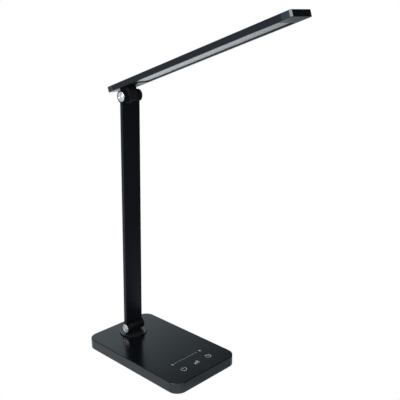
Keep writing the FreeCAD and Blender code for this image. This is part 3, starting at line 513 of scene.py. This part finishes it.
def black_finish(name, colour, dust_colour, pebble, roughness, spread, depth_mm, shine=0.5, rim=None):
    """Black skin with pebbles, a wandering gloss, dull handling marks and a few specks of dust.

    rim gives the mask of an edge that is made dark metal, a painted shade, for a finish that has one.
    """
    material, tree, shader = new_finish(name)
    shader.inputs["Specular IOR Level"].default_value = shine
    grain = add_group(tree, GRAIN, Pebble=pebble, Roughness=roughness, Spread=spread)
    marks = add_group(tree, MARKS)
    dusty = mix_colour(tree, marks.outputs["Specks"], colour, dust_colour)
    tree.links.new(dusty, shader.inputs["Base Color"])
    dull = calculate(tree, "MULTIPLY", marks.outputs["Patches"], spread)
    tree.links.new(calculate(tree, "ADD", grain.outputs["Roughness"], dull), shader.inputs["Roughness"])
    if rim is not None:
        tree.links.new(rim(tree), shader.inputs["Metallic"])
    add_bump(tree, shader, grain.outputs["Height"], depth_mm)
    return material


# %% Mix the blacks
# the disc's rounded edge is made dark metal: painted shade that dims its glint and darkens its outline
DISC_EDGE_WIDTH = 0.8 * MM


def disc_edge_painted_shade(tree):
    """Socket with a mask of the rounded edge of the swivel disc, which painted shade makes dark metal."""
    low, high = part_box("swivel_disc")
    radius = (high.x - low.x) / 2
    where = place_node(tree, "ShaderNodeTexCoord")
    flat = place_node(tree, "ShaderNodeVectorMath", operation="MULTIPLY_ADD")
    tree.links.new(where.outputs["Object"], flat.inputs[0])
    flat.inputs[1].default_value = (1, 1, 0)
    flat.inputs[2].default_value = (-(low.x + high.x) / 2, -(low.y + high.y) / 2, 0)
    start, end = radius - DISC_EDGE_WIDTH, radius - DISC_EDGE_WIDTH / 2
    return smooth_fall(tree, length_of(tree, flat.outputs["Vector"]), start, end, 0.0, 1.0)


BLACKS = {
    "satin_base": dict(colour=(0.0023, 0.0028, 0.0034), dust_colour=(0.010, 0.011, 0.012),
                       pebble=0.5, roughness=0.19, spread=0.02, depth_mm=0.0006),
    "satin_disc": dict(colour=(0.0080, 0.0086, 0.0095), dust_colour=(0.025, 0.026, 0.027),
                       pebble=0.5, roughness=0.24, spread=0.01, depth_mm=0.0003, shine=0.9,
                       rim=disc_edge_painted_shade),
    "cast_hinge": dict(colour=(0.0030, 0.0028, 0.0036), dust_colour=(0.008, 0.008, 0.008),
                       pebble=0.35, roughness=0.30, spread=0.03, depth_mm=0.002, shine=0.24),
    "matt_bar": dict(colour=(0.0042, 0.0034, 0.0042), dust_colour=(0.012, 0.012, 0.012),
                     pebble=0.3, roughness=0.36, spread=0.03, depth_mm=0.003, shine=0.22),
    "gloss_bar_end": dict(colour=(0.0035, 0.0038, 0.0045), dust_colour=(0.012, 0.012, 0.012),
                          pebble=0.4, roughness=0.11, spread=0.02, depth_mm=0.0003),
    "dull_neck": dict(colour=(0.0105, 0.0090, 0.0115), dust_colour=(0.012, 0.012, 0.012),
                      pebble=0.35, roughness=0.24, spread=0.03, depth_mm=0.001, shine=0.08),
    "matt_fork": dict(colour=(0.0026, 0.0023, 0.0030), dust_colour=(0.008, 0.008, 0.008),
                      pebble=0.35, roughness=0.6, spread=0.03, depth_mm=0.002, shine=0.12),
    "plain_moulding": dict(colour=(0.016, 0.016, 0.017), dust_colour=(0.05, 0.05, 0.05),
                           pebble=0.25, roughness=0.5, spread=0.05, depth_mm=0.012),
    "soft_rubber": dict(colour=(0.014, 0.014, 0.014), dust_colour=(0.08, 0.08, 0.078),
                        pebble=0.6, roughness=0.82, spread=0.06, depth_mm=0.02),
}
FINISHES = {name: black_finish(name, **sizes) for name, sizes in BLACKS.items()}
print("black finishes:", ", ".join(FINISHES))

# %% [markdown]
# ### The arm's extrusion
# The arm is a flat aluminium tube that was pressed through a die and then coloured black.  Fine lines run
# the whole way along it, which is upwards here, and they stretch every highlight sideways a little.  An
# anisotropic shader would stretch the highlights too, but it has no lines to look at, so they are a height.

# %% Mix the arm's black
ARM_BLACK = (0.0036, 0.0038, 0.0052, 1)
ARM_SHINE = 0.32
ARM_LINE_WIDTH = 0.18         # in millimetres, as are the next two
ARM_LINE_LENGTH = 60.0
ARM_LINE_DEPTH = 0.002
STREAK_DULL = 0.08            # roughness that the lines add at most


def extruded_black():
    """Black with long vertical lines in its height and its gloss."""
    material, tree, shader = new_finish("extruded_black")
    lines = add_group(tree, LINES,
                      Along_X=ARM_LINE_WIDTH, Along_Y=ARM_LINE_WIDTH, Along_Z=ARM_LINE_LENGTH)
    grain = add_group(tree, GRAIN, Pebble=0.3, Roughness=0.18, Spread=0.03)
    shader.inputs["Base Color"].default_value = ARM_BLACK
    shader.inputs["Specular IOR Level"].default_value = ARM_SHINE
    streaks = calculate(tree, "MULTIPLY", lines.outputs["Height"], STREAK_DULL)
    tree.links.new(calculate(tree, "ADD", grain.outputs["Roughness"], streaks), shader.inputs["Roughness"])
    add_bump(tree, shader, lines.outputs["Height"], ARM_LINE_DEPTH)
    return material


FINISHES["extruded_black"] = extruded_black()
print("arm finish:", FINISHES["extruded_black"].name)

# %% [markdown]
# ## Metals
# Screws and bolts are zinc plated, the weight in the base is rolled steel, contacts are brass and the hinge
# caps are bright aluminium.  Metal has no colour of its own under its reflection, so they differ only by
# tint, by roughness, and by lines or stains, and one function makes them all.  The caps have a thin milky
# lacquer, so they are metal only in part.

# %% Mix the metals
STAIN_DULL = 0.08             # roughness that a stain adds


def metal_finish(name, colour, stain, lines_mm, roughness, depth_mm, bare=1.0):
    """Metal with worked lines, and stains that tint and dull it; bare is the share not under lacquer."""
    material, tree, shader = new_finish(name)
    shader.inputs["Metallic"].default_value = bare
    lines = add_group(tree, LINES, Along_X=lines_mm[0], Along_Y=lines_mm[1], Along_Z=lines_mm[2])
    marks = add_group(tree, MARKS, Patch=6.0)
    grain = add_group(tree, GRAIN, Pebble=0.3, Roughness=roughness, Spread=0.05)
    tree.links.new(mix_colour(tree, marks.outputs["Patches"], colour, stain), shader.inputs["Base Color"])
    dull = calculate(tree, "MULTIPLY", marks.outputs["Patches"], STAIN_DULL)
    tree.links.new(calculate(tree, "ADD", grain.outputs["Roughness"], dull), shader.inputs["Roughness"])
    add_bump(tree, shader, lines.outputs["Height"], depth_mm)
    return material


METALS = {
    "zinc_screw": dict(colour=(0.62, 0.62, 0.64), stain=(0.45, 0.44, 0.42),
                       lines_mm=(0.3, 0.3, 0.3), roughness=0.32, depth_mm=0.003),
    "black_screw": dict(colour=(0.035, 0.035, 0.038), stain=(0.02, 0.02, 0.022),
                        lines_mm=(0.3, 0.3, 0.3), roughness=0.38, depth_mm=0.003),
    "rolled_steel": dict(colour=(0.42, 0.42, 0.43), stain=(0.25, 0.23, 0.21),
                         lines_mm=(0.4, 20.0, 2.0), roughness=0.45, depth_mm=0.01),
    "brass_contact": dict(colour=(0.75, 0.52, 0.25), stain=(0.5, 0.34, 0.17),
                          lines_mm=(0.3, 8.0, 0.3), roughness=0.28, depth_mm=0.003),
    "bright_cap": dict(colour=(0.71, 0.665, 0.64), stain=(0.67, 0.625, 0.60),
                       lines_mm=(0.5, 0.5, 0.5), roughness=0.24, depth_mm=0.0005, bare=0.75),
}
FINISHES.update({name: metal_finish(name, **sizes) for name, sizes in METALS.items()})
print("finishes so far:", len(FINISHES))

# %% [markdown]
# ## Light plastics and the board
# The diffuser is a milky sheet.  It could be made to let light through, but with the lamp switched off it
# looks like plain pale plastic with a fine satin surface, so that is what it is here.  Behind it sit a
# white board and yellow light packages.  In the base lies a green board.  Wires and dark washers are plain
# mouldings, each with its own colour and a slight unevenness.

# %% Mix the plastics


def tinted_plastic(name, colour, shaded, pebble, roughness, depth_mm):
    """Plastic whose colour wanders between two tones, with moulded pebbles."""
    material, tree, shader = new_finish(name)
    marks = add_group(tree, MARKS, Patch=12.0)
    grain = add_group(tree, GRAIN, Pebble=pebble, Roughness=roughness, Spread=0.04)
    tree.links.new(mix_colour(tree, marks.outputs["Patches"], colour, shaded), shader.inputs["Base Color"])
    tree.links.new(grain.outputs["Roughness"], shader.inputs["Roughness"])
    add_bump(tree, shader, grain.outputs["Height"], depth_mm)
    return material


PLASTICS = {
    "milky_diffuser": dict(colour=(0.98, 0.94, 0.90), shaded=(0.97, 0.93, 0.89),
                           pebble=0.6, roughness=0.36, depth_mm=0.0005),
    "green_board": dict(colour=(0.02, 0.16, 0.07), shaded=(0.015, 0.12, 0.05),
                        pebble=0.3, roughness=0.35, depth_mm=0.006),
    "white_board": dict(colour=(0.82, 0.82, 0.80), shaded=(0.78, 0.78, 0.76),
                        pebble=0.3, roughness=0.4, depth_mm=0.004),
    "phosphor": dict(colour=(0.85, 0.68, 0.16), shaded=(0.78, 0.60, 0.12),
                     pebble=0.2, roughness=0.35, depth_mm=0.004),
    "red_wire": dict(colour=(0.42, 0.03, 0.025), shaded=(0.36, 0.025, 0.02),
                     pebble=0.4, roughness=0.4, depth_mm=0.01),
    "graphite_washer": dict(colour=(0.010, 0.010, 0.011), shaded=(0.006, 0.006, 0.007),
                            pebble=0.3, roughness=0.42, depth_mm=0.006),
}
FINISHES.update({name: tinted_plastic(name, **sizes) for name, sizes in PLASTICS.items()})
print("finishes in all:", len(FINISHES))

# %% [markdown]
# ## Dress the frame
# Finishes could be put on the pieces one by one.  But each piece of the frame names the slot of its finish
# in the record, so one table from slot to finish dresses them all, and only a few pieces are named by
# themselves.  The end caps and the bottom frame of the light bar share the bar's slot, but they are glossy
# while the housing between them is matt.  The bar's neck and the fork that holds it are duller than the
# other hinge parts, and the disc under the post mirrors more than the base does.

# %% Put the finishes on
FINISH_OF_SLOT = {
    "base_plastic": "satin_base",
    "inner_plastic": "plain_moulding",
    "pad_rubber": "soft_rubber",
    "ballast_steel": "rolled_steel",
    "screw_steel": "zinc_screw",
    "black_screw_steel": "black_screw",
    "contact_metal": "brass_contact",
    "board_laminate": "green_board",
    "component_plastic": "plain_moulding",
    "wire_plastic": "red_wire",
    "washer_plastic": "graphite_washer",
    "hinge_metal": "cast_hinge",
    "arm_metal": "extruded_black",
    "cap_metal": "bright_cap",
    "head_plastic": "matt_bar",
    "diffuser_plastic": "milky_diffuser",
    "light_board_metal": "white_board",
    "led_resin": "phosphor",
}
FINISH_OF_PIECE = {
    "swivel_disc": "satin_disc",
    "upper_fork": "matt_fork",
    "head_bracket": "dull_neck",
    "head_tip_cap": "gloss_bar_end",
    "head_tail_cap": "gloss_bar_end",
    "head_bezel": "gloss_bar_end",
}


def dress(piece_name, slot_name):
    """Give a piece of the frame its finish, by its own name or else by its slot."""
    finish = FINISHES[FINISH_OF_PIECE.get(piece_name, FINISH_OF_SLOT[slot_name])]
    for holder in frame["nodes"][piece_name].material_slots:
        holder.material = finish


for part in frame["record"]["subparts"]:
    dress(part["node"], part["material_slot"])

# %% [markdown]
# ## Skins from rings
# Curves with a bevel could draw the ink, and a screw modifier could turn the caps.  Here both are made in
# one way, which can be read as a formula: a row of closed rings of points, computed as one array, with a
# skin between each ring and the next.  A piece that ends has a tip point at each end, so that no hole is
# left, and a piece that runs round, such as a ring of ink, joins its last ring to its first.

# %% Skin helper


def skin(name, rings, tips, finish, body):
    """Closed surface over rings of points, with a tip point at each end or else joined end to end.

    rings is an array of rings x points x 3.
    """
    count, points = rings.shape[:2]
    corners = rings.reshape(-1, 3)
    row = np.arange(count if tips is None else count - 1)[:, None] * points
    column = np.arange(points)[None, :]
    after = (column + 1) % points
    beyond = (row + points) % (count * points)
    quads = np.stack([row + column, row + after, beyond + after, beyond + column], -1).reshape(-1, 4)
    faces = quads.tolist()
    if tips is not None:
        corners = np.concatenate([corners, np.asarray(tips)])
        start = np.full(points, count * points)
        column, after = column[0], after[0]
        last = (count - 1) * points
        faces += np.stack([after, column, start], -1).tolist()
        faces += np.stack([last + column, last + after, start + 1], -1).tolist()
    mesh = bpy.data.meshes.new(name)
    mesh.from_pydata(corners.tolist(), [], faces)
    mesh.materials.append(finish)
    piece = bpy.data.objects.new(name, mesh)
    bpy.context.scene.collection.objects.link(piece)
    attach(piece, body)
    return piece


# %% [markdown]
# ## Turned hinge caps
# A bright aluminium cap closes each end of the two hinge barrels.  It was turned on a lathe, and its fine
# rings spread the light along the radius, which is why such a cap shows bright and dark wedges.  A noise
# bump can't do that, so the rings are real: a shallow wave along the radius of a domed face, revolved about
# the hinge axis.

# %% Turn the caps
CAP_WAVE = 0.35 * MM          # from one ring to the next
CAP_WAVE_DEPTH = 0.085 * MM
CAP_BEVEL = 0.25 * MM
CAP_DOME = 0.35 * MM
CAP_THICKNESS = 1.2 * MM      # from the back to the rim of the dome
CAP_POINTS = 96
WAVE_STEPS = 6


def cap_profile(radius):
    """Radius and height of a cap from near its middle over the waved dome and the bevel to its back.

    On the dome, height = thickness + dome (1 - (r / flat)^2) - depth (1 - cos(2 pi r / wave)) / 2.
    """
    flat = radius - CAP_BEVEL
    steps = int(round(flat / CAP_WAVE)) * WAVE_STEPS
    along = np.linspace(0, flat, steps + 1)[1:]
    dome = CAP_DOME * (1 - (along / flat) ** 2)
    wave = CAP_WAVE_DEPTH * 0.5 * (1 - np.cos(2 * np.pi * along / CAP_WAVE))
    edge_radius = np.array([radius, radius])
    face = CAP_THICKNESS + dome - wave
    edge_height = np.array([CAP_THICKNESS - CAP_BEVEL, 0.0])
    return np.concatenate([along, edge_radius]), np.concatenate([face, edge_height])


def turned_cap(name, seat, side, radius):
    """Cap revolved about a line along X, with the middle of its back at seat.

    side is +1 or -1, the way its face looks.  A ring of radius r lies at x = seat + side * height, and its
    points at y = seat + r cos(a) and z = seat + r sin(a).
    """
    reach, height = cap_profile(radius)
    turn = np.linspace(0, 2 * np.pi, CAP_POINTS, endpoint=False) * side
    rings = np.empty((len(reach), CAP_POINTS, 3))
    rings[..., 0] = seat[0] + side * height[:, None]
    rings[..., 1] = seat[1] + reach[:, None] * np.cos(turn)
    rings[..., 2] = seat[2] + reach[:, None] * np.sin(turn)
    tips = [(seat[0] + side * (CAP_THICKNESS + CAP_DOME), seat[1], seat[2]), tuple(seat)]
    return skin(name, rings, tips, FINISHES["bright_cap"], "arm")


def cap_pair(node):
    """Both caps of a hinge, from the box of the plain pair that they stand for."""
    low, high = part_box(node)
    middle = (low + high) / 2
    radius = (high.z - low.z) / 2
    face = high.x - CAP_DOME
    for side, word in ((-1, "left"), (1, "right")):
        seat = Vector((side * (face - CAP_THICKNESS), middle.y, middle.z))
        cap = turned_cap(f"{node}_{word}", seat, side, radius)
        cap.data.shade_smooth()
        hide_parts(node)
    print(node, "radius", round(radius / MM, 2), "mm, face at", round(face / MM, 2), "mm")


cap_pair("lower_hinge_caps")
cap_pair("upper_hinge_caps")

# %% [markdown]
# ## Touch symbols
# The controls are a print on the base: a power sign, a sign for the light's colour, a timer and a line to
# slide along for brightness, with a small and a large sun at its ends.  An image could carry them, but it
# blurs close up.  Ink stands a few hundredths of a millimetre proud, so each stroke is a flat tube of ink
# instead: an oval section carried along an arc or a line, with round ends.  The long line has less ink on
# it than the symbols, so it is greyer.

# %% Ink helpers
INK_HEIGHT = 0.03 * MM
STROKE_POINTS = 12
ROUND_START = 0.05            # the first ring of a round end, as a share of half the width
BASE_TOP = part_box("base_shell")[1].z
INK_GRAIN = dict(pebble=0.15, roughness=0.5, depth_mm=0.002)
INK = tinted_plastic("pale_ink", (0.29, 0.30, 0.30), (0.26, 0.27, 0.27), **INK_GRAIN)
THIN_INK = tinted_plastic("thin_ink", (0.185, 0.192, 0.194), (0.170, 0.177, 0.179), **INK_GRAIN)


def stroke(name, path, width, closed=False, ink=INK):
    """Oval section carried along a flat path, width across and twice the ink's height high.

    Its points are path + across * taper * cos(a) * width / 2, at the height top + taper * sin(a) * ink.
    taper rounds off open ends: sqrt(1 - (1 - d)^2), with d the distance from the end in half widths.
    """
    path = np.asarray(path)
    if closed:
        ahead = np.roll(path, -1, 0) - np.roll(path, 1, 0)
        taper = np.ones(len(path))
    else:
        ahead = np.gradient(path, axis=0)
        run = np.concatenate([[0], np.cumsum(np.linalg.norm(np.diff(path, axis=0), axis=1))])
        inward = np.minimum(run, run[-1] - run) / (width / 2)
        taper = np.sqrt(1 - (1 - np.clip(inward, ROUND_START, 1)) ** 2)
    ahead = ahead / np.linalg.norm(ahead, axis=1)[:, None]
    across = np.stack([ahead[:, 1], -ahead[:, 0]], -1)
    turn = np.linspace(0, 2 * np.pi, STROKE_POINTS, endpoint=False)
    rings = np.empty((len(path), STROKE_POINTS, 3))
    spread = taper[:, None] * np.cos(turn) * width / 2
    rings[..., :2] = path[:, None, :] + across[:, None, :] * spread[..., None]
    rings[..., 2] = BASE_TOP + taper[:, None] * np.sin(turn) * INK_HEIGHT
    ends = np.column_stack([path[[0, -1]], [BASE_TOP, BASE_TOP]])
    piece = skin(name, rings, None if closed else ends, ink, "base")
    piece.data.shade_smooth()
    return piece


def line_path(start, end, steps=24):
    """Straight path of points, closer together near both ends so that the round ends are smooth."""
    ease = 0.5 - 0.5 * np.cos(np.linspace(0, np.pi, steps))
    return np.asarray(start) + ease[:, None] * (np.asarray(end) - np.asarray(start))


def arc_path(middle, radius, first, last, steps=48):
    """Path along a circle from one angle to another, in degrees from +X."""
    angle = np.radians(np.linspace(first, last, steps))
    return np.asarray(middle) + radius * np.column_stack([np.cos(angle), np.sin(angle)])


def circle_path(middle, radius, points):
    """Path once round a circle, without its first point again at the end."""
    return arc_path(middle, radius, 0, 360, points + 1)[:-1]


print("ink lies at z", round(BASE_TOP / MM, 2), "mm")

# %% [markdown]
# ### Power, colour and timer
# Three signs stand in a row along the front of the base.  Each is a function of its middle, so the row is
# set out by one spacing, and the rings share one radius and one stroke.

# %% Print the symbols
PRINT_MIDDLE = 1.7 * MM       # the print sits this far to the right of the base's middle
SYMBOL_SPACING = 23.65 * MM
SYMBOL_ROW = -70.8 * MM
RING_RADIUS = 3.85 * MM
STROKE_WIDTH = 0.95 * MM
RING_POINTS = 64
POWER_RING_START = 128        # in degrees from +X
POWER_RING_END = 412
POWER_BAR_START = 0.8 * MM    # from the middle of the ring
POWER_BAR_PAST_RING = 0.3 * MM
COLOUR_BAR_HEIGHTS = (3.8 * MM, 5.4 * MM, 7.0 * MM)
COLOUR_BAR_STEP = 3.1 * MM
COLOUR_BAR_WIDTH = 1.65 * MM
MINUTE_HAND = 2.6 * MM
HOUR_HAND = 2.0 * MM
HAND_WIDTH = 0.8 * STROKE_WIDTH


def power_sign(middle):
    """Ring that is open at the back, with a short bar in the gap."""
    ring = arc_path(middle, RING_RADIUS, POWER_RING_START, POWER_RING_END)
    stroke("print_power_ring", ring, STROKE_WIDTH)
    bar_start = middle + np.array([0, POWER_BAR_START])
    bar_end = middle + np.array([0, RING_RADIUS + POWER_BAR_PAST_RING])
    stroke("print_power_bar", line_path(bar_start, bar_end), STROKE_WIDTH)


def colour_sign(middle):
    """Three upright bars that grow from left to right."""
    for index, height in enumerate(COLOUR_BAR_HEIGHTS):
        foot = middle + np.array([(index - 1) * COLOUR_BAR_STEP, -COLOUR_BAR_HEIGHTS[-1] / 2])
        bar = line_path(foot, foot + np.array([0, height]))
        stroke(f"print_colour_bar_{index + 1}", bar, COLOUR_BAR_WIDTH)


def timer_sign(middle):
    """Full ring with two clock hands."""
    stroke("print_timer_ring", circle_path(middle, RING_RADIUS, RING_POINTS), STROKE_WIDTH, closed=True)
    stroke("print_timer_minute", line_path(middle, middle + np.array([0, MINUTE_HAND])), HAND_WIDTH)
    stroke("print_timer_hour", line_path(middle, middle + np.array([HOUR_HAND, 0])), HAND_WIDTH)


row_middle = np.array([PRINT_MIDDLE, SYMBOL_ROW])
symbol_step = np.array([SYMBOL_SPACING, 0])
power_sign(row_middle - symbol_step)
colour_sign(row_middle)
timer_sign(row_middle + symbol_step)
print("symbols at x", [round((PRINT_MIDDLE + step * SYMBOL_SPACING) / MM, 2) for step in (-1, 0, 1)], "mm")

# %% [markdown]
# ### Brightness line
# Behind the signs runs the line that a finger slides along, from a small sun to a large one.  The suns
# differ only in the length of their rays.  A dot could be a disc of its own, but a stroke that is as wide
# as the circle that it follows already reaches in to the middle.

# %% Print the brightness line
SLIDE_ROW = -51.75 * MM
SLIDE_SHIFT = 1.9 * MM        # the line sits this far to the left of the symbols' middle
SLIDE_HALF = 22.3 * MM
SLIDE_WIDTH = 0.62 * MM
SUN_ROW = -52.15 * MM
SMALL_SUN_X = -25.1 * MM
LARGE_SUN_X = 27.7 * MM
SUN_CORE = 1.35 * MM          # radius of the dot
SUN_POINTS = 24
SUN_RAYS = 8
SMALL_RAY_END = 2.05 * MM
LARGE_RAY_END = 2.3 * MM
RAY_GAP = 0.35 * MM           # between the dot and its rays
RAY_WIDTH = 0.55 * MM
RAY_STEPS = 12


def sun_sign(name, middle, ray_end):
    """Dot drawn as a small ring of ink that closes on itself, with short rays about it."""
    stroke(name + "_core", circle_path(middle, SUN_CORE / 2, SUN_POINTS), SUN_CORE, closed=True)
    for index in range(SUN_RAYS):
        angle = 2 * math.pi * index / SUN_RAYS
        ray = np.array([math.cos(angle), math.sin(angle)])
        path = line_path(middle + ray * (SUN_CORE + RAY_GAP), middle + ray * ray_end, RAY_STEPS)
        stroke(f"{name}_ray_{index + 1}", path, RAY_WIDTH)


slide_middle = np.array([PRINT_MIDDLE - SLIDE_SHIFT, SLIDE_ROW])
slide_reach = np.array([SLIDE_HALF, 0])
slide_path = line_path(slide_middle - slide_reach, slide_middle + slide_reach)
stroke("print_slide_line", slide_path, SLIDE_WIDTH, ink=THIN_INK)
sun_sign("print_small_sun", np.array([SMALL_SUN_X, SUN_ROW]), SMALL_RAY_END)
sun_sign("print_large_sun", np.array([LARGE_SUN_X, SUN_ROW]), LARGE_RAY_END)
print("brightness line is", round(2 * SLIDE_HALF / MM, 1), "mm long")
